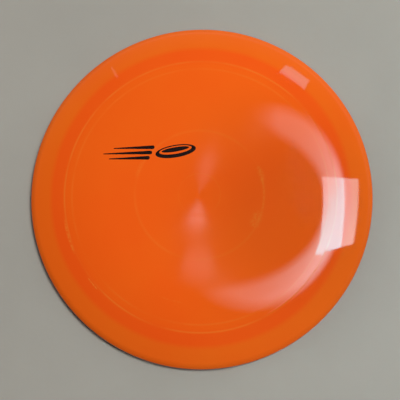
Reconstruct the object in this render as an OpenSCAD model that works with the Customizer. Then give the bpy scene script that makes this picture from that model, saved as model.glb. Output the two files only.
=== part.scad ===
// Disc golf driver: a thin domed flight plate inside a wide, wing-shaped rim, and a foil stamp on top.
// Millimetres. +Z is up. The origin is on the disc's axis, on the plane that the rim's foot stands on.

/* [Disc] */
// Outside diameter, nose to nose
disc_d = 211; // [208:0.5:220]
// Width of the rim, from the nose to the inside wall
rim_w = 22; // [19:0.5:25]
// Thickness of the flight plate
plate_t = 2.1; // [1.6:0.1:2.6]

/* [Upper surface] */
// Radius of the gently crowned middle of the plate
crown_r = 56; // [45:1:65]
// Slope of the plate at the crown's edge, in degrees
crown_deg = 2.8; // [1.5:0.1:4]
// Slope of the upper wing where it meets the rounded edge, in degrees
wing_deg = 18; // [16:0.5:22]
// Radius of the rounded edge between the upper wing and the nose
edge_r = 9; // [6:0.5:12]
// Slope of the rounded edge where it meets the nose, in degrees
edge_deg = 42; // [36:1:48]

/* [Nose] */
// Radius of the rounded leading edge
nose_r = 1.6; // [1.6:0.1:2.2]
// Height of the leading edge above the ground
nose_z = 5.2; // [4.6:0.1:6.5]
// Radius of the arc that hollows the lower wing
belly_r = 160; // [100:10:400]

/* [Rim] */
// Width of the flat foot ring that the disc stands on
foot_w = 3.2; // [2:0.1:5]
// Radius of the lip between the foot and the inside wall
lip_r = 1.2; // [0.8:0.1:2]
// Draft of the inside wall, in degrees
draft_deg = 2; // [0.5:0.5:4]
// Radius of the fillet between the inside wall and the plate
fillet_r = 1.5; // [0.8:0.1:2.5]

/* [Gate] */
// Radius of the shallow pit in the middle of the upper surface
pit_r = 2.8; // [2:0.1:4]
// Radius of the boss under the middle of the plate
boss_r = 5; // [4:0.1:7]
// Radius of the nub that the sprue leaves on the boss
nub_r = 2.2; // [1.5:0.1:3]
// Height of the nub
nub_h = 1.2; // [0.6:0.1:2]
// Radius of the witness ring that the mould's middle insert leaves under the plate
witness_r = 39.3; // [30:0.1:45]

/* [Stamp] */
// Distance of the stamp's middle to the left of the axis
stamp_left = 30.5; // [28:0.5:34]
// Distance of the stamp's middle behind the axis
stamp_back = 26; // [22:0.5:30]
// Turn of the stamp, in degrees
stamp_turn = 1; // [-5:0.5:5]
// Thickness of the foil
stamp_t = 0.1; // [0.08:0.01:0.2]

/* [Hidden] */
$fn = 180;
STREAKS = 3;

orange = [0.92, 0.33, 0.07];
ink = [0.06, 0.03, 0.03];

pit_depth = 0.15;
boss_h = 0.4;
witness_w = 0.5;
witness_h = 0.25;
skin_steps = 14;     // straight steps in each long arc of the section
round_steps = 8;     // straight steps in each short arc

// The section is drawn in the plane of radius and height. A slope of a degrees faces 90 - a.
inner_r = disc_d / 2 - rim_w;
nose_c = [disc_d / 2 - nose_r, nose_z];
edge_c = nose_c + (nose_r - edge_r) * [sin(edge_deg), cos(edge_deg)];
wing_end = edge_c + edge_r * [sin(wing_deg), cos(wing_deg)];

// The shoulder is one arc from the rounded edge to the crown's edge, and the crown is one shallow arc.
shoulder_r = (wing_end[0] - crown_r) / (sin(wing_deg) - sin(crown_deg));
shoulder_c = wing_end - shoulder_r * [sin(wing_deg), cos(wing_deg)];
crown_arc_r = crown_r / sin(crown_deg);
crown_c = [0, shoulder_c[1] + (shoulder_r - crown_arc_r) * cos(crown_deg)];
crown_z = crown_c[1] + crown_arc_r;
joint_deg = asin((inner_r - shoulder_c[0]) / shoulder_r);

// The fillet touches the plate's underside and the inside wall.
fillet_x = inner_r - fillet_r;
fillet_reach = shoulder_r - plate_t - fillet_r;
fillet_c = [fillet_x, shoulder_c[1] + sqrt(pow(fillet_reach, 2) - pow(fillet_x - shoulder_c[0], 2))];
fillet_face = facing(shoulder_c, fillet_c);

// The lip touches the drafted inside wall and the foot.
lip_top = lip_r * (1 - sin(draft_deg));
lip_c = [inner_r + (fillet_c[1] - lip_top) * tan(draft_deg) + lip_r * cos(draft_deg), lip_r];
foot_edge = [lip_c[0] + foot_w, 0];

// The hollow lower wing is one arc: it starts at the foot's edge and touches the nose from below.
belly_span = nose_c - foot_edge;
belly_along = belly_span / norm(belly_span);
belly_down = [belly_along[1], -belly_along[0]];
belly_foot = (pow(belly_r, 2) - pow(belly_r + nose_r, 2) + pow(norm(belly_span), 2)) / (2 * norm(belly_span));
belly_c = foot_edge + belly_foot * belly_along + sqrt(pow(belly_r, 2) - pow(belly_foot, 2)) * belly_down;
belly_start = facing(belly_c, foot_edge);
belly_end = facing(belly_c, nose_c);

// Points along an arc from one facing to another, without the last one.
function arc(c, r, from, to, steps) =
    [for (i = [0 : steps - 1])
        let (a = from + (to - from) * i / steps)
        c + r * [cos(a), sin(a)]];

// Direction from one point to another, in degrees.
function facing(p, q) = atan2(q[1] - p[1], q[0] - p[0]);

function reversed(list) = [for (i = [len(list) - 1 : -1 : 0]) list[i]];

// The plate's skin from the axis to the inside wall, raised by a given amount.
function skin(raise) =
    concat(arc(crown_c, crown_arc_r + raise, 90, 90 - crown_deg, skin_steps),
           arc(shoulder_c, shoulder_r + raise, 90 - crown_deg, 90 - joint_deg, skin_steps));

joint_top = shoulder_c + shoulder_r * [sin(joint_deg), cos(joint_deg)];
joint_bottom = [inner_r, fillet_c[1]];
boss_z = crown_z - plate_t - boss_h;

plate_section =
    concat(skin(0),
           [joint_top],
           arc(fillet_c, fillet_r, 0, fillet_face, round_steps),
           arc(shoulder_c, shoulder_r - plate_t, fillet_face, 90 - crown_deg, skin_steps),
           arc(crown_c, crown_arc_r - plate_t, 90 - crown_deg, 90, skin_steps),
           [[0, crown_z - plate_t]]);

rim_section =
    concat(arc(shoulder_c, shoulder_r, 90 - joint_deg, 90 - wing_deg, skin_steps),
           arc(edge_c, edge_r, 90 - wing_deg, 90 - edge_deg, round_steps),
           arc(nose_c, nose_r, 90 - edge_deg, belly_end - 180, 2 * round_steps),
           arc(belly_c, belly_r, belly_end, belly_start, skin_steps),
           [foot_edge],
           arc(lip_c, lip_r, 270, 180 + draft_deg, round_steps),
           [lip_c - lip_r * [cos(draft_deg), sin(draft_deg)], joint_bottom]);

// The domed plate, with the gate's pit on top and the boss and the witness ring beneath.
module flight_plate() {
    witness_z = crown_c[1] + sqrt(pow(crown_arc_r - plate_t, 2) - pow(witness_r, 2));
    color(orange)
    difference() {
        union() {
            rotate_extrude() polygon(plate_section);
            translate([0, 0, boss_z]) cylinder(r = boss_r, h = boss_h + plate_t / 2);
            translate([0, 0, witness_z - witness_h])
                difference() {
                    cylinder(r = witness_r + witness_w / 2, h = witness_h + plate_t / 2);
                    translate([0, 0, -1]) cylinder(r = witness_r - witness_w / 2, h = plate_t + 2);
                }
        }
        translate([0, 0, crown_z - pit_depth]) cylinder(r = pit_r, h = 1);
    }
}

// The wing-shaped rim: foot, hollow lower wing, nose, rounded edge and upper wing.
module rim() {
    color(orange) rotate_extrude() polygon(rim_section);
}

// The short stub that is left where the sprue was cut from the boss.
module gate_nub() {
    chamfer = nub_r / 5;
    color(orange)
    rotate_extrude()
    polygon([[0, boss_z - nub_h], [nub_r - chamfer, boss_z - nub_h], [nub_r, boss_z - nub_h + chamfer],
             [nub_r, boss_z], [0, boss_z]]);
}

// Foil of a given outline, lying on the plate where the stamp belongs.
module foil() {
    color(ink)
    intersection() {
        rotate_extrude() polygon(concat(skin(stamp_t), reversed(skin(0))));
        translate([-stamp_left, stamp_back, 0])
            rotate(stamp_turn)
            linear_extrude(crown_z + 1) children();
    }
}

function ellipse(a, b) = [for (i = [0 : 59]) [a * cos(6 * i), b * sin(6 * i)]];

// A flying disc seen nearly edge on, climbing: a dark body and, inside a clear line, its dark plate.
module stamp_disc() {
    half_len = 12.5;
    half_h = 3.9;
    foil() translate([16, 0.4]) rotate(8) {
        difference() {
            polygon(ellipse(half_len, half_h));
            translate([0, half_h * 0.2]) polygon(ellipse(half_len * 0.8, half_h * 0.62));
        }
        translate([0, half_h * 0.28]) polygon(ellipse(half_len * 0.68, half_h * 0.36));
    }
}

// One streak behind the disc: round at the head and drawn out to a thin tail.
module stamp_streak(i) {
    head_r = 1.15;
    tail_r = 0.25;
    pitch = 3.2;
    head_x = 3.5 - 1.5 * i;
    length = i == 2 ? 29 : 24;
    foil() translate([head_x, pitch * (2 - i)]) {
        circle(r = head_r);
        polygon([[0, head_r], [-length, tail_r], [-length, -tail_r], [0, -head_r]]);
    }
}

flight_plate();
rim();
gate_nub();
stamp_disc();
for (i = [1 : STREAKS])
    stamp_streak(i);
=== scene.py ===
"""An orange golf disc on a pale floor, seen from almost straight above.

The moulded pieces are turned from the same section as the design, at a finer step, with the marks that the
mould leaves: the gate's pit, witness lines, a parting line on the nose and a torn gate nub.
"""
import math
import random

import bpy
from mathutils import Matrix, Vector


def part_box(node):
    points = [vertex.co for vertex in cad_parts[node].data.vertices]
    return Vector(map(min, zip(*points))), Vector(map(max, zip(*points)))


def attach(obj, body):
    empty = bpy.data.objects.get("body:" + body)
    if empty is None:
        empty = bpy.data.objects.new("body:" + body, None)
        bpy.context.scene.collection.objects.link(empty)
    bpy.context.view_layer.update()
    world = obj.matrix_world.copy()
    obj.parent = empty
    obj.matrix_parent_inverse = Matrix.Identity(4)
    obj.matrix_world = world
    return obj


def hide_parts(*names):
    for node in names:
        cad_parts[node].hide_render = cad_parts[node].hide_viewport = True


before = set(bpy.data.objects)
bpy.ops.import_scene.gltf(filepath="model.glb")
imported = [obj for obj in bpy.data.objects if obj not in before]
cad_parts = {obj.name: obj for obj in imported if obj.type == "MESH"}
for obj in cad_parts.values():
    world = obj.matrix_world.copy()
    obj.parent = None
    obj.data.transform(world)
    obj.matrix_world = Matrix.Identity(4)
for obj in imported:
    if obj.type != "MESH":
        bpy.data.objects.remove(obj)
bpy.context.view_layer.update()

random.seed(7)

MM = 0.001

# ---------------------------------------------------------------- sizes, in millimetres

DISC_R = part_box("rim")[1].x / MM
INNER_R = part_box("flight_plate")[1].x / MM
PLATE_T = 2.1
CROWN_R = 56.0
CROWN_DEG = 2.8
WING_DEG = 18.0
EDGE_R = 9.0
EDGE_DEG = 42.0
NOSE_R = 1.6
NOSE_Z = 5.2
BELLY_R = 160.0
FOOT_W = 3.2
LIP_R = 1.2
DRAFT_DEG = 2.0
FILLET_R = 1.5
PIT_R = 2.8
PIT_DEPTH = 0.15
PIT_FLOOR = 0.4             # the pit's level floor and its wall, as shares of its radius
PIT_WALL = 0.8
BOSS_R = 5.0
BOSS_EASE = 0.8             # width of the slope round the boss
NUB_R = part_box("gate_nub")[1].x / MM
NUB_TEAR = 0.16

# Witness lines of the mould on the upper surface: radius, height and half width
WITNESS_LINES = [(12.8, 0.010, 0.35), (39.3, 0.005, 0.5), (78.0, 0.004, 0.6), (82.8, 0.010, 0.45)]
UNDER_RIB = (39.3, 0.25, 0.28)
PARTING_LINE = 0.035        # how far the parting line stands out of the nose
PARTING_DEG = 4             # half its width, as an angle round the nose
FOOT_EASE = 0.5             # how softly the lower wing runs into the foot
TURNS = 288                 # faces round each turned piece
SHARP_DEG = 35              # edges sharper than this are shown as edges

STAMP_AT = Vector((-30.5, 26))
STAMP_TURN = Matrix.Rotation(math.radians(1), 2)
FOIL_T = 0.03
STREAK_HEAD_R = 1.15
STREAK_TAIL_R = 0.25
STREAK_PITCH = 3.2
MARK_LEN, MARK_H = 12.5, 3.9    # half the length and height of the stamp's disc
MARK_AT = Vector((16, 0.4))
MARK_TILT = 8

# ---------------------------------------------------------------- the section: radius and height


def polar(degrees):
    """The way that an angle points, as a vector of length 1."""
    a = math.radians(degrees)
    return Vector((math.cos(a), math.sin(a)))


def facing(p, q):
    """Direction from one point to another, in degrees."""
    return math.degrees(math.atan2(q.y - p.y, q.x - p.x))


def arc(centre, radius, start, end, steps):
    """Points along an arc from one facing to another, in degrees, without the last one."""
    return [centre + radius * polar(start + (end - start) * i / steps) for i in range(steps)]


def ridge(r, line):
    """Height of a witness line at a radius."""
    middle, height, half = line
    return height * math.exp(-((r - middle) / half) ** 2)


def smooth(x):
    x = min(max(x, 0.0), 1.0)
    return x * x * (3 - 2 * x)


nose_c = Vector((DISC_R - NOSE_R, NOSE_Z))
edge_c = nose_c + (NOSE_R - EDGE_R) * polar(90 - EDGE_DEG)
wing_end = edge_c + EDGE_R * polar(90 - WING_DEG)
shoulder_r = (wing_end.x - CROWN_R) / (math.sin(math.radians(WING_DEG)) - math.sin(math.radians(CROWN_DEG)))
shoulder_c = wing_end - shoulder_r * polar(90 - WING_DEG)
crown_arc_r = CROWN_R / math.sin(math.radians(CROWN_DEG))
crown_c = Vector((0, shoulder_c.y + (shoulder_r - crown_arc_r) * math.cos(math.radians(CROWN_DEG))))


def skin_z(r, sunk=0.0):
    """Height of the plate's upper surface, or of the surface a given depth under it."""
    if r < CROWN_R * (1 - sunk / crown_arc_r):
        return crown_c.y + math.sqrt((crown_arc_r - sunk) ** 2 - r * r)
    return shoulder_c.y + math.sqrt((shoulder_r - sunk) ** 2 - (r - shoulder_c.x) ** 2)


CROWN_Z = skin_z(0)
BOSS_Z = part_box("gate_nub")[1].z / MM

fillet_x = INNER_R - FILLET_R
fillet_c = Vector((fillet_x, skin_z(fillet_x, PLATE_T + FILLET_R)))
fillet_top = fillet_c + FILLET_R * polar(facing(shoulder_c, fillet_c))
joint_top = Vector((INNER_R, skin_z(INNER_R)))
joint_bottom = Vector((INNER_R, fillet_c.y))

lip_rise = LIP_R * (1 - math.sin(math.radians(DRAFT_DEG)))
lip_x = INNER_R + (fillet_c.y - lip_rise) * math.tan(math.radians(DRAFT_DEG))
lip_c = Vector((lip_x + LIP_R * math.cos(math.radians(DRAFT_DEG)), LIP_R))
foot_edge = Vector((lip_c.x + FOOT_W, 0))

# The lower wing's arc starts at the foot's edge and touches the nose from below.
span = nose_c - foot_edge
along = span.normalized()
down = Vector((along.y, -along.x))
reach = (BELLY_R ** 2 - (BELLY_R + NOSE_R) ** 2 + span.length ** 2) / (2 * span.length)
belly_c = foot_edge + reach * along + math.sqrt(BELLY_R ** 2 - reach ** 2) * down


def stations(start, stop, step, lines):
    """Radii at an even step, with finer ones across each witness line."""
    count = round((stop - start) / step)
    radii = {round(start + (stop - start) * i / count, 3) for i in range(count + 1)}
    for middle, _, half in lines:
        radii |= {round(middle + half * k / 4, 3) for k in range(-8, 9)
                  if start < middle + half * k / 4 < stop}
    return sorted(radii)


def plate_section():
    """The plate from the middle of its top round to the middle of its underside."""
    floor, steps = CROWN_Z - PIT_DEPTH, 10
    flat, wall = PIT_R * PIT_FLOOR, PIT_R * PIT_WALL
    top = [Vector((r, floor)) for r in (0, flat / 2, flat)]
    for k in range(1, steps + 1):
        r = flat + wall * k / steps
        top.append(Vector((r, floor + (skin_z(r) - floor) * smooth(k / steps))))
    for r in stations(flat + wall + PIT_R / 10, INNER_R, 1.0, WITNESS_LINES)[:-1]:
        top.append(Vector((r, skin_z(r) + sum(ridge(r, line) for line in WITNESS_LINES))))
    edge = [joint_top] + arc(fillet_c, FILLET_R, 0, facing(shoulder_c, fillet_c), 10) + [fillet_top]
    under, steps, slope_start = [], 6, BOSS_R + 0.5
    for r in reversed(stations(slope_start + 0.1, fillet_top.x - 0.5, 2.0, [UNDER_RIB])):
        under.append(Vector((r, skin_z(r, PLATE_T) - ridge(r, UNDER_RIB))))
    for k in range(1, steps + 1):
        r = slope_start - BOSS_EASE * k / steps
        low = skin_z(r, PLATE_T)
        under.append(Vector((r, low + (BOSS_Z - low) * smooth(k / steps))))
    under += [Vector((BOSS_R * 0.5, BOSS_Z)), Vector((0, BOSS_Z))]
    return top + edge + under


def rim_section():
    """The rim from the joint outward over the wing, round the nose and back under to the inside wall."""
    joint_deg = facing(shoulder_c, joint_top)
    upper = arc(shoulder_c, shoulder_r, joint_deg, 90 - WING_DEG, 40)
    edge = arc(edge_c, EDGE_R, 90 - WING_DEG, 90 - EDGE_DEG, 16)
    start, end, steps = 90 - EDGE_DEG, facing(belly_c, nose_c) - 180, 48
    nose = []
    for i in range(steps):
        a = start + (end - start) * i / steps
        nose.append(nose_c + (NOSE_R + PARTING_LINE * math.exp(-(a / PARTING_DEG) ** 2)) * polar(a))
    lower = arc(belly_c, BELLY_R, facing(belly_c, nose_c), facing(belly_c, foot_edge), 32)[:-1]
    last = lower[-1]
    ease = [last.lerp(foot_edge, t).lerp(foot_edge.lerp(foot_edge - Vector((FOOT_EASE, 0)), t), t)
            for t in (0.25, 0.5, 0.75, 1.0)]
    lip = arc(lip_c, LIP_R, 270, 180 + DRAFT_DEG, 12)
    wall = [lip_c - LIP_R * polar(DRAFT_DEG), joint_bottom]
    return upper + edge + nose + lower + ease + lip + wall


# ---------------------------------------------------------------- mesh building


def add_mesh(name, vertices, faces):
    """A smooth-shaded object from places in millimetres."""
    mesh = bpy.data.meshes.new(name)
    mesh.from_pydata([tuple(c * MM for c in v) for v in vertices], [], faces)
    mesh.validate()
    mesh.update()
    for polygon in mesh.polygons:
        polygon.use_smooth = True
    mesh.set_sharp_from_angle(angle=math.radians(SHARP_DEG))
    piece = bpy.data.objects.new(name, mesh)
    bpy.context.collection.objects.link(piece)
    return piece


def turned(name, section, closed, turns=TURNS):
    """Turns a section about the axis. An open one starts and ends on the axis."""
    vertices, rings = [], []
    for p in section:
        if p.x < 1e-6:
            rings.append([len(vertices)] * turns)
            vertices.append((0, 0, p.y))
            continue
        rings.append(list(range(len(vertices), len(vertices) + turns)))
        for k in range(turns):
            a = 2 * math.pi * k / turns
            vertices.append((p.x * math.cos(a), p.x * math.sin(a), p.y))
    faces = []
    pairs = list(zip(rings, rings[1:])) + ([(rings[-1], rings[0])] if closed else [])
    for inner, outer in pairs:
        for k in range(turns):
            n = (k + 1) % turns
            corners = [inner[k], outer[k], outer[n], inner[n]]
            faces.append([c for i, c in enumerate(corners) if c != corners[i - 1]])
    return add_mesh(name, vertices, faces)


def foil(name, patches):
    """Foil lying on the plate. A patch is rows of places in the stamp's plane; a ring's rows close up."""
    vertices, faces = [], []
    for rows, ring in patches:
        width, base = len(rows[0]), len(vertices)
        half = width * len(rows)
        for raise_by in (FOIL_T, 0.0):
            for row in rows:
                for p in row:
                    spot = STAMP_AT + STAMP_TURN @ p
                    vertices.append((spot.x, spot.y, skin_z(spot.length) + raise_by))

        def at(i, j, low):
            return base + low * half + (i % len(rows)) * width + j

        for i in range(len(rows) if ring else len(rows) - 1):
            for j in range(width - 1):
                faces.append([at(i, j, 0), at(i + 1, j, 0), at(i + 1, j + 1, 0), at(i, j + 1, 0)])
                faces.append([at(i, j, 1), at(i, j + 1, 1), at(i + 1, j + 1, 1), at(i + 1, j, 1)])
            faces.append([at(i, 0, 0), at(i, 0, 1), at(i + 1, 0, 1), at(i + 1, 0, 0)])
            faces.append([at(i + 1, width - 1, 0), at(i + 1, width - 1, 1),
                          at(i, width - 1, 1), at(i, width - 1, 0)])
        if not ring:
            end = len(rows) - 1
            for j in range(width - 1):
                faces.append([at(0, j + 1, 0), at(0, j + 1, 1), at(0, j, 1), at(0, j, 0)])
                faces.append([at(end, j, 0), at(end, j, 1), at(end, j + 1, 1), at(end, j + 1, 0)])
    return add_mesh(name, vertices, faces)


# ---------------------------------------------------------------- pieces


def make_nub():
    """The stub of the sprue, with a slightly torn end."""
    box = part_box("gate_nub")
    top, low = box[1].z / MM, box[0].z / MM
    chamfer = NUB_R / 5
    section = [Vector((0, top)), Vector((NUB_R * 0.6, top)), Vector((NUB_R, top))]
    section += [Vector((NUB_R - 0.02 * k, top - (top - low - chamfer) * k / 5)) for k in range(1, 6)]
    section += arc(Vector((NUB_R - chamfer - 0.1, low + chamfer)), chamfer, 0, -90, 6)
    section += [Vector((NUB_R * t, low)) for t in (0.7, 0.55, 0.4, 0.25, 0.12)]
    section.append(Vector((0, low)))
    nub = turned("gate_nub_torn", section, closed=False, turns=40)
    for v in nub.data.vertices:
        if v.co.z < (low + chamfer * 0.8) * MM:
            v.co.z += random.uniform(0, NUB_TEAR) * MM
    nub.data.update()
    return nub


def blade(start, end, half_width, rows=40, across=5):
    """A patch between two places on its axis, with a half width that is a function of the way along."""
    patch = []
    for i in range(rows + 1):
        t = 0.5 - 0.5 * math.cos(math.pi * i / rows)
        half = max(half_width(t), 0.01)
        middle = start.lerp(end, t)
        patch.append([middle + Vector((0, half * (2 * j / across - 1))) for j in range(across + 1)])
    return patch, False


def streak_patch(i):
    """Round at the head, drawn out to a thin tail."""
    head = Vector((3.5 - 1.5 * i, STREAK_PITCH * (2 - i)))
    length = 29 if i == 2 else 24
    whole = length + STREAK_HEAD_R

    def half_width(t):
        x = STREAK_HEAD_R - whole * t
        if x > 0:
            return math.sqrt(max(STREAK_HEAD_R ** 2 - x * x, 0))
        return STREAK_HEAD_R + (STREAK_TAIL_R - STREAK_HEAD_R) * -x / length

    return blade(head + Vector((STREAK_HEAD_R, 0)), head - Vector((length, 0)), half_width, rows=60)


def disc_patches():
    """A disc seen nearly edge on: a dark body and, inside a clear line, its dark plate."""
    turn, turns = Matrix.Rotation(math.radians(MARK_TILT), 2), 96
    body = []
    for k in range(turns):
        a = 2 * math.pi * k / turns
        outer = Vector((MARK_LEN * math.cos(a), MARK_H * math.sin(a)))
        inner = Vector((MARK_LEN * 0.8 * math.cos(a), MARK_H * (0.62 * math.sin(a) + 0.2)))
        body.append([MARK_AT + turn @ inner.lerp(outer, j / 3) for j in range(4)])
    plate_a, plate_b, plate_y = MARK_LEN * 0.68, MARK_H * 0.36, MARK_H * 0.28
    lens, _ = blade(Vector((-plate_a, plate_y)), Vector((plate_a, plate_y)),
                    lambda t: plate_b * 2 * math.sqrt(max(t - t * t, 0)))
    lens = [[MARK_AT + turn @ p for p in row] for row in lens]
    return [(body, True), (lens, False)]


plate = turned("flight_plate_moulded", plate_section(), closed=False)
rim = turned("rim_moulded", rim_section(), closed=True)
nub = make_nub()
stamp_disc = foil("stamp_disc_foil", disc_patches())
streaks = [foil(f"stamp_streak_{i}_foil", [streak_patch(i)]) for i in (1, 2, 3)]

# ---------------------------------------------------------------- materials

PLATE_ORANGE = (0.94, 0.108, 0.005)
THICK_SHADED_ORANGE = (0.93, 0.092, 0.005)     # where the plastic is thick, at the inside wall: darker and redder as painted shade, since no light comes through it from beneath
# The wing's orange is yellower: painted light that comes through the thin plastic from below.
WING_LIT_THROUGH_ORANGE = (0.90, 0.124, 0.006)
PALE_ORANGE_AND_GLINT = (0.92, 0.20, 0.02)        # where it is rubbed, and also the painted glints on the mould's ridges
CLOUD_TINT = (1.0, 1.22, 1.2)
# Colours of the foil and the floor, and the values of their noise that they belong to
FOIL_BLACKS = [(0.3, (0.006, 0.002, 0.002)), (0.72, (0.014, 0.005, 0.004))]
FLOOR_GREYS = [(0.3, (0.345, 0.303, 0.256)), (0.7, (0.385, 0.339, 0.287))]

# Pale lines along the mould's marks, rubbed wear at 39.3 and painted glints on the ridges at 12.8, 78.4 and
# 83.2: radius, half width and strength
PALE_LINES_AND_GLINTS = [(12.8, 0.5, 0.3), (39.3, 1.2, 0.25), (78.4, 0.9, 0.3), (83.2, 0.8, 0.6)]
# Scuffs that follow the rings, rubbed wear and, along the inside edge of the rim on the left, painted
# glints: radius, azimuth in degrees, reach along the ring, half width and strength
SCUFFS_AND_GLINTS = [(39.3, 18, 6, 2.2, 0.5), (39.0, -1, 13, 0.8, 0.5), (37.6, -24, 6, 4.0, 0.55),
          (40.2, 152, 9, 1.2, 0.3), (84.6, 219.5, 5, 0.5, 1.0), (84.2, 197, 12, 1.0, 0.6),
          (66.0, 255, 8, 0.5, 0.3)]
TURNED_R, SMOOTH_R = 50, 68             # the turned grooves fade out from the first radius to the second
GROOVE_SCALE = 150.0                    # features of the grooves' noise along the disc's radius


def rgba(colour):
    return (*colour, 1)


class Nodes:
    """A node tree being built: makes nodes and links them."""

    def __init__(self, tree):
        self.tree = tree

    def node(self, kind, links=(), **settings):
        made = self.tree.nodes.new(kind)
        for key, value in settings.items():
            setattr(made, key, value)
        for socket, value in dict(links).items():
            self.put(made, socket, value)
        return made

    def put(self, node, socket, value):
        """Links a value that is a socket, or sets a plain one."""
        if isinstance(value, bpy.types.NodeSocket):
            self.tree.links.new(value, node.inputs[socket])
        else:
            node.inputs[socket].default_value = value

    def place(self):
        return self.node("ShaderNodeTexCoord").outputs["Object"]

    def math(self, operation, *values):
        return self.node("ShaderNodeMath", dict(enumerate(values)), operation=operation).outputs[0]

    def vector(self, operation, *values):
        """Vector maths with a plain number as its result."""
        made = self.node("ShaderNodeVectorMath", dict(enumerate(values)), operation=operation)
        return made.outputs["Value"]

    def ramp(self, value, stops):
        """A colour ramp whose stops are (position, colour)."""
        made = self.node("ShaderNodeValToRGB", {"Fac": value})
        points = made.color_ramp.elements
        while len(points) < len(stops):
            points.new(1.0)
        for point, (position, colour) in zip(points, stops):
            point.position = position
            point.color = rgba(colour)
        return made.outputs["Color"]

    def level(self, value, stops):
        """A ramp of plain numbers."""
        return self.ramp(value, [(position, (v, v, v)) for position, v in stops])

    def noise(self, vector, scale, detail=2.0, rough=0.5):
        return self.node("ShaderNodeTexNoise", {"Vector": vector, "Scale": scale, "Detail": detail,
                                                "Roughness": rough}).outputs["Fac"]

    def mix(self, factor, a, b, mode="MIX"):
        made = self.node("ShaderNodeMix", data_type="RGBA", blend_type=mode)
        for socket, value in ((0, factor), (6, a), (7, b)):
            self.put(made, socket, value)
        return made.outputs[2]

    def bump(self, height, strength, distance, **under):
        """A bump of a height, laid over another bump's Normal where one is given."""
        return self.node("ShaderNodeBump", {"Height": height, "Strength": strength, "Distance": distance,
                                            **under}).outputs[0]


class Shader(Nodes):
    """A material being built, with its one surface shader."""

    def __init__(self, name):
        self.material = bpy.data.materials.new(name)
        self.material.use_nodes = True
        super().__init__(self.material.node_tree)
        self.surface = self.tree.nodes["Principled BSDF"]


def share(mm):
    """A radius as a share of the disc's radius."""
    return mm / DISC_R


def seen_from_above(s, place):
    """A place without its height, and its distance from the axis as a share of the disc's radius."""
    split = s.node("ShaderNodeSeparateXYZ", {"Vector": place}).outputs
    flat = s.node("ShaderNodeCombineXYZ", {"X": split["X"], "Y": split["Y"]}).outputs[0]
    return flat, s.math("MULTIPLY", s.vector("LENGTH", flat), 1 / (DISC_R * MM))


def ring_mark(s, radius, middle, half, strength):
    """A mark round the axis, full at its middle radius and nothing beyond its half width."""
    off = s.math("ABSOLUTE", s.math("SUBTRACT", radius, share(middle)))
    return s.node("ShaderNodeMapRange", {"Value": off, "From Min": 0.0, "From Max": share(half),
                                         "To Min": strength, "To Max": 0.0}).outputs["Result"]


def plastic_colour(s, place, flat, radius):
    """Three oranges from the plate to the wing, the thick ring's darkened by painted shade and the wing's
    lightened by painted light through the thin plastic, with soft clouds, and pale lines and scuffs that
    are partly rubbed wear and partly painted glints on the mould's ridges.
    """
    # The thick ring's orange is painted shade; the wing's is painted light through the thin plastic.
    tint = s.ramp(radius, [(0.0, PLATE_ORANGE), (share(81), PLATE_ORANGE), (share(85), THICK_SHADED_ORANGE),
                           (share(90.5), THICK_SHADED_ORANGE), (share(93.5), WING_LIT_THROUGH_ORANGE), (1.0, WING_LIT_THROUGH_ORANGE)])
    clouds = s.level(s.noise(place, scale=16.0, detail=3.0, rough=0.55), [(0.38, 0.0), (0.62, 0.45)])
    tint = s.mix(clouds, tint, s.mix(1.0, tint, rgba(CLOUD_TINT), "MULTIPLY"))
    # Patches where the pale lines show, for the rubbed wear and the painted glints alike.
    patchy_wear_and_glint = s.level(s.noise(place, scale=45.0), [(0.35, 0.15), (0.6, 1.0)])
    # Pale lines: rubbed wear at 39.3, painted glints on the ridges at the other radii.
    for middle, half, strength in PALE_LINES_AND_GLINTS:
        near = ring_mark(s, radius, middle, half, strength)
        tint = s.mix(s.math("MULTIPLY", near, patchy_wear_and_glint), tint, rgba(PALE_ORANGE_AND_GLINT))
    speckle = s.level(s.noise(place, scale=700.0), [(0.42, 0.2), (0.55, 1.0)])
    # Scuffs: rubbed wear, and painted glints along the rim's inside edge on the left.
    for middle, azimuth, reach_along, half, strength in SCUFFS_AND_GLINTS:
        away = s.vector("DISTANCE", flat, (*(middle * MM * polar(azimuth)), 0))
        near = s.level(s.math("DIVIDE", away, reach_along * MM), [(0.6, 1.0), (1.0, 0.0)])
        mark = s.math("MULTIPLY", ring_mark(s, radius, middle, half, strength * 1.5), near)
        mark = s.math("MINIMUM", mark, strength)
        tint = s.mix(s.math("MULTIPLY", mark, speckle), tint, rgba(PALE_ORANGE_AND_GLINT))
    return tint


def orange_plastic():
    """Glossy plastic: fine turned grooves in the middle, smoother outside, with a faint orange peel."""
    s = Shader("orange_plastic")
    place = s.place()
    flat, radius = seen_from_above(s, place)
    s.put(s.surface, "Base Color", plastic_colour(s, place, flat, radius))

    grain = s.noise(place, scale=2600.0)
    turned_part = s.level(radius, [(share(TURNED_R), 1.0), (share(SMOOTH_R), 0.0)])
    rough = s.math("MULTIPLY_ADD", turned_part, 0.05, 0.03)
    s.put(s.surface, "Roughness", s.math("MULTIPLY_ADD", grain, 0.02, rough))
    s.put(s.surface, "Anisotropic", 0.8)
    s.put(s.surface, "Anisotropic Rotation", 0.25)
    s.put(s.surface, "Tangent", s.node("ShaderNodeTangent", direction_type="RADIAL", axis="Z").outputs[0])
    s.put(s.surface, "Specular IOR Level", 0.3)

    grooves = s.node("ShaderNodeTexNoise", {"W": s.math("MULTIPLY", radius, GROOVE_SCALE), "Scale": 1.0,
                                            "Detail": 3.0}, noise_dimensions="1D").outputs["Fac"]
    grooves = s.bump(s.math("MULTIPLY", grooves, turned_part), strength=0.25, distance=0.01 * MM)
    peel = s.bump(s.noise(place, scale=420.0), strength=0.2, distance=0.006 * MM, Normal=grooves)
    s.put(s.surface, "Normal", peel)
    return s.material


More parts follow.
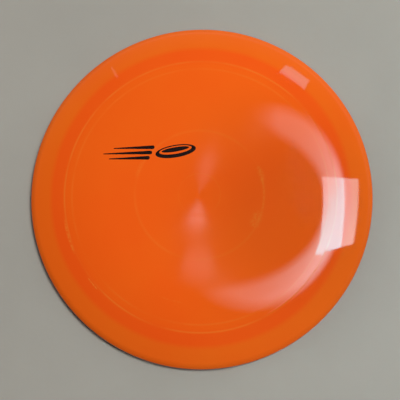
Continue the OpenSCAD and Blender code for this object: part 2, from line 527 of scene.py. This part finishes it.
def black_foil():
    """Hot-stamped foil: near-black, with fine flecks and dimples."""
    s = Shader("black_foil")
    place = s.place()
    fleck = s.noise(place, scale=5200.0)
    s.put(s.surface, "Base Color", s.ramp(fleck, FOIL_BLACKS))
    s.put(s.surface, "Roughness", s.math("MULTIPLY_ADD", fleck, 0.15, 0.2))
    s.put(s.surface, "Specular IOR Level", 0.2)
    s.put(s.surface, "Normal", s.bump(s.noise(place, scale=1800.0), strength=0.3, distance=0.01 * MM))
    return s.material


def pale_floor():
    """A dull floor with broad, faint changes of colour and a little grit."""
    s = Shader("pale_floor")
    place = s.place()
    broad = s.noise(place, scale=6.0, detail=4.0, rough=0.6)
    s.put(s.surface, "Base Color", s.ramp(broad, FLOOR_GREYS))
    s.put(s.surface, "Roughness", 0.6)
    grit = s.noise(place, scale=300.0, detail=3.0)
    s.put(s.surface, "Normal", s.bump(grit, strength=0.2, distance=0.2 * MM))
    return s.material


plastic, ink = orange_plastic(), black_foil()
for piece, node in ((plate, "flight_plate"), (rim, "rim"), (nub, "gate_nub")):
    piece.data.materials.append(plastic)
    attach(piece, "root")
    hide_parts(node)
streak_nodes = [f"stamp_streak_{i}" for i in (1, 2, 3)]
for piece, node in ((stamp_disc, "stamp_disc"), *zip(streaks, streak_nodes)):
    piece.data.materials.append(ink)
    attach(piece, "root")
    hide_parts(node)

# ---------------------------------------------------------------- floor and lights

FLOOR_CORNERS = [(-8, -8, 0), (8, -8, 0), (8, 8, 0), (-8, 8, 0)]
CEILING = 2.4               # height of the bright panel, in metres
LAMP_DROP = 0.02            # how far the lamps hang under it
CARD_BLACK = (0.02, 0.02, 0.02)

# Places, sizes and distances on the ceiling are shares of its height.
# An oval is its middle, its half sizes and its turn in degrees.
CRESCENT = ((0.293, 0.068), (0.345, 0.425), -20.5)
CRESCENT_GAP = ((0.171, 0.072), (0.287, 0.21), 4.2)
# Strength of the crescent from its left to its right
CRESCENT_ACROSS = [(0.0, 0.0), (0.06, 0.06), (0.16, 0.15), (0.28, 0.17), (0.38, 0.22), (0.5, 0.335),
                   (0.58, 0.5), (0.64, 0.66), (0.74, 0.7)]
# A side of the window is the way it faces and its distance that way. The panes meet at a line.
WINDOW_SIDES = [((-1, 0), -0.425), ((1, -0.123), 0.802), ((-0.104, 1), 0.146), ((0, -1), 0.135)]
PANE_LINE = 0.645
PANE_HIDES = 0.7            # how much of the crescent's light the left pane hides
CEILING_CORNERS = [(-0.15, -0.45), (0.9, -0.45), (0.9, 0.55), (-0.15, 0.55)]

FULL_LIGHT = 22.0
LIGHT_TINT = (0.93, 0.98, 1.0)
GLOSS_TINT = (0.78, 0.92, 1.0)
HOT_TINT = (0.42, 1.08, 1.25)   # where the ceiling is brightest
LAMP_TINT = (0.15, 0.95, 1.22)

ROOM_TINT = (0.96, 0.98, 1.0)
ROOM_LEVEL = 0.13
WALL_LEVEL = 0.8
WALL_WAY = (0.3, 0.95, 0)   # the way to the bright walls
ROOM_WAY = (0.9, 0.3, 0)    # the way from the darker side of the room to the lighter one


def panel(name, corners, material):
    """A flat face that is part of the stage."""
    mesh = bpy.data.meshes.new(name)
    mesh.from_pydata(corners, [], [list(range(len(corners)))])
    made = bpy.data.objects.new(name, mesh)
    mesh.materials.append(material)
    bpy.context.collection.objects.link(made)
    return made


def ceiling_place(x, y):
    """A place on the ceiling, from its distances as shares of the ceiling's height."""
    return Vector((x * CEILING, y * CEILING, CEILING))


def how_far_out(s, place, middle, half, turn):
    """How far out a place is in an oval on the ceiling, 1 on its outline."""
    mapped = s.node("ShaderNodeMapping", {"Vector": place, "Location": ceiling_place(*middle),
                                          "Rotation": (0, 0, math.radians(turn)),
                                          "Scale": (half[0] * CEILING, half[1] * CEILING, 1)},
                    vector_type="TEXTURE")
    return s.vector("LENGTH", mapped.outputs[0])


def how_far_along(s, place, way):
    """How far a place on the ceiling is along a way."""
    return s.vector("DOT_PRODUCT", place, (way[0] / CEILING, way[1] / CEILING, 0))


def crescent(s, place):
    """A broad oval with an oval gap in it, brightest on its right.

    A ramp takes values from 0 to 1, so the distances are halved or shifted before they go through one.
    """
    outer = s.math("MULTIPLY", how_far_out(s, place, *CRESCENT), 0.5)
    gap = s.math("MULTIPLY", how_far_out(s, place, *CRESCENT_GAP), 0.5)
    outside_gap = s.level(gap, [(0.43, 0.0), (0.58, 1.0)])
    lit = s.math("MULTIPLY", s.level(outer, [(0.42, 1.0), (0.53, 0.0)]), outside_gap)
    start = s.math("ADD", how_far_along(s, place, (1, -0.45)), 0.1)
    across = s.math("ADD", how_far_along(s, place, (1, -0.4)), 0.1)
    lit = s.math("MULTIPLY", lit, s.level(start, [(0.0, 0.0), (0.13, 1.0)]))
    return s.math("MULTIPLY", lit, s.level(across, CRESCENT_ACROSS))


def window(s, place):
    """A bright four-sided window of two panes: the share of it that is left pane, and its strength."""
    inside = 1.0
    for way, side in WINDOW_SIDES:
        inside = s.math("MULTIPLY", inside, s.math("LESS_THAN", how_far_along(s, place, way), side))
    x = how_far_along(s, place, (1, 0))
    left = s.math("MULTIPLY", inside, s.math("LESS_THAN", x, PANE_LINE))
    height = s.math("ADD", how_far_along(s, place, (0, 1)), 0.2)
    right_pane = s.level(height, [(0.1, 0.64), (0.35, 0.45)])
    left_pane = s.level(height, [(0.1, 0.86), (0.37, 0.55)])
    across = s.level(x, [(0.42, 0.0), (0.60, 0.1), (PANE_LINE, 0.4)])
    extra = s.math("SUBTRACT", s.math("ADD", left_pane, across), right_pane)
    return left, s.math("MULTIPLY_ADD", left, extra, s.math("MULTIPLY", inside, right_pane))


def bright_ceiling():
    """A clear panel on which the crescent and the window shine, seen only in the gloss.

    Together they can be brighter than 1, so their strength goes through the tint's ramp at half.
    """
    s = Shader("bright_ceiling")
    s.tree.nodes.remove(s.surface)
    place = s.place()
    left_pane, panes = window(s, place)
    kept = s.math("MULTIPLY_ADD", left_pane, -PANE_HIDES, 1.0)
    half_share = s.math("MULTIPLY", s.math("MULTIPLY_ADD", crescent(s, place), kept, panes), 0.5)
    tint = s.ramp(half_share, [(0.33, GLOSS_TINT), (0.43, HOT_TINT)])
    strength = s.math("MULTIPLY", half_share, 2 * FULL_LIGHT)
    shine = s.node("ShaderNodeEmission", {"Color": tint, "Strength": strength})
    clear = s.node("ShaderNodeBsdfTransparent")
    both = s.node("ShaderNodeAddShader", {0: clear.outputs[0], 1: shine.outputs[0]})
    s.put(s.tree.nodes["Material Output"], "Surface", both.outputs[0])
    made = panel("bright_ceiling", [ceiling_place(*c) for c in CEILING_CORNERS], s.material)
    made.visible_camera = made.visible_diffuse = False


def area_light(name, middle, size, radiance, turn=0, shape="ELLIPSE", tint=LIGHT_TINT, in_gloss=True):
    """A lamp just under the ceiling, facing down. Its radiance stays the same whatever its size."""
    data = bpy.data.lights.new(name, "AREA")
    data.shape = shape
    data.size, data.size_y = (d * CEILING for d in size)
    area = data.size * data.size_y * (math.pi / 4 if shape == "ELLIPSE" else 1)
    data.energy = radiance * math.pi * area
    data.color = tint
    made = bpy.data.objects.new(name, data)
    made.location = ceiling_place(*middle) - Vector((0, 0, LAMP_DROP))
    made.rotation_euler = (0, 0, math.radians(turn))
    made.visible_glossy = in_gloss
    bpy.context.collection.objects.link(made)


def flag(middle, half, corners=32):
    """A small oval card that keeps some of the light off, seen neither by the camera nor in the gloss."""
    angles = [2 * math.pi * k / corners for k in range(corners)]
    places = [Vector(middle) + Vector((half[0] * math.cos(a), half[1] * math.sin(a), 0)) for a in angles]
    s = Shader("dark_card")
    s.put(s.surface, "Base Color", rgba(CARD_BLACK))
    card = panel("flag", places, s.material)
    card.visible_camera = card.visible_glossy = card.visible_diffuse = False


def dim_room():
    """Dark overhead, to the left and near the horizon, with brighter walls behind and to the right."""
    world = bpy.data.worlds.new("room")
    world.use_nodes = True
    s = Nodes(world.node_tree)
    way = s.node("ShaderNodeTexCoord").outputs["Generated"]
    up = s.node("ShaderNodeSeparateXYZ", {"Vector": way}).outputs["Z"]
    height = s.level(up, [(0.0, 0.15), (0.25, 0.4), (0.47, 1.0), (0.72, 0.0)])
    to_wall = s.math("MULTIPLY_ADD", s.vector("DOT_PRODUCT", way, WALL_WAY), 0.5, 0.5)
    wall = s.math("MULTIPLY", height, s.level(to_wall, [(0.25, 0.0), (0.55, 0.25), (0.95, 1.0)]))
    to_right = s.math("MULTIPLY_ADD", s.vector("DOT_PRODUCT", way, ROOM_WAY), 0.5, 0.5)
    room = s.level(to_right, [(0.1, 0.35), (0.55, 1.0)])
    strength = s.math("MULTIPLY_ADD", wall, WALL_LEVEL, s.math("MULTIPLY", room, ROOM_LEVEL))
    background = s.tree.nodes["Background"]
    s.put(background, "Color", rgba(ROOM_TINT))
    s.put(background, "Strength", strength)
    bpy.context.scene.world = world


panel("floor", FLOOR_CORNERS, pale_floor())
bright_ceiling()
# The key gives the shading and isn't seen in the gloss, where the crescent and the window stand for it.
area_light("key", (0.32, 0.165), (0.3, 0.3), radiance=43.6, in_gloss=False)
area_light("far_lamp", (0.474, 0.828), (0.17, 0.16), radiance=4.2, turn=-33, shape="RECTANGLE",
           tint=LAMP_TINT)
area_light("far_tube", (-0.58, 0.893), (0.012, 0.22), radiance=1.5, turn=32, shape="RECTANGLE")
area_light("near_glow", (-0.057, 0.063), (0.036, 0.032), radiance=9.4)
area_light("middle_glow", (-0.054, -0.043), (0.074, 0.062), radiance=2.3)
area_light("upper_glow", (-0.0365, 0.172), (0.034, 0.072), radiance=2.0, turn=-14)
flag((0.158, 0.046, 0.35), (0.026, 0.030))
dim_room()

# ---------------------------------------------------------------- camera

CAMERA_AT = Vector((0.0335, -0.0713, 0.6514))
CAMERA_AIM = Vector((-0.00025, -0.0021, 0.006))
LENS = 94.9
SENSOR = 36.0


def add_camera():
    """A camera that looks down at its aim, with the disc's back at the top of the picture."""
    data = bpy.data.cameras.new("camera")
    data.sensor_width = SENSOR
    data.lens = LENS
    made = bpy.data.objects.new("camera", data)
    made.location = CAMERA_AT
    ahead = CAMERA_AIM - made.location
    side = ahead.cross(Vector((0, 1, 0))).normalized()
    upward = side.cross(ahead).normalized()
    made.rotation_euler = Matrix((side, upward, -ahead.normalized())).transposed().to_euler()
    bpy.context.collection.objects.link(made)
    bpy.context.scene.camera = made


add_camera()
bpy.context.scene.view_settings.view_transform = "Standard"
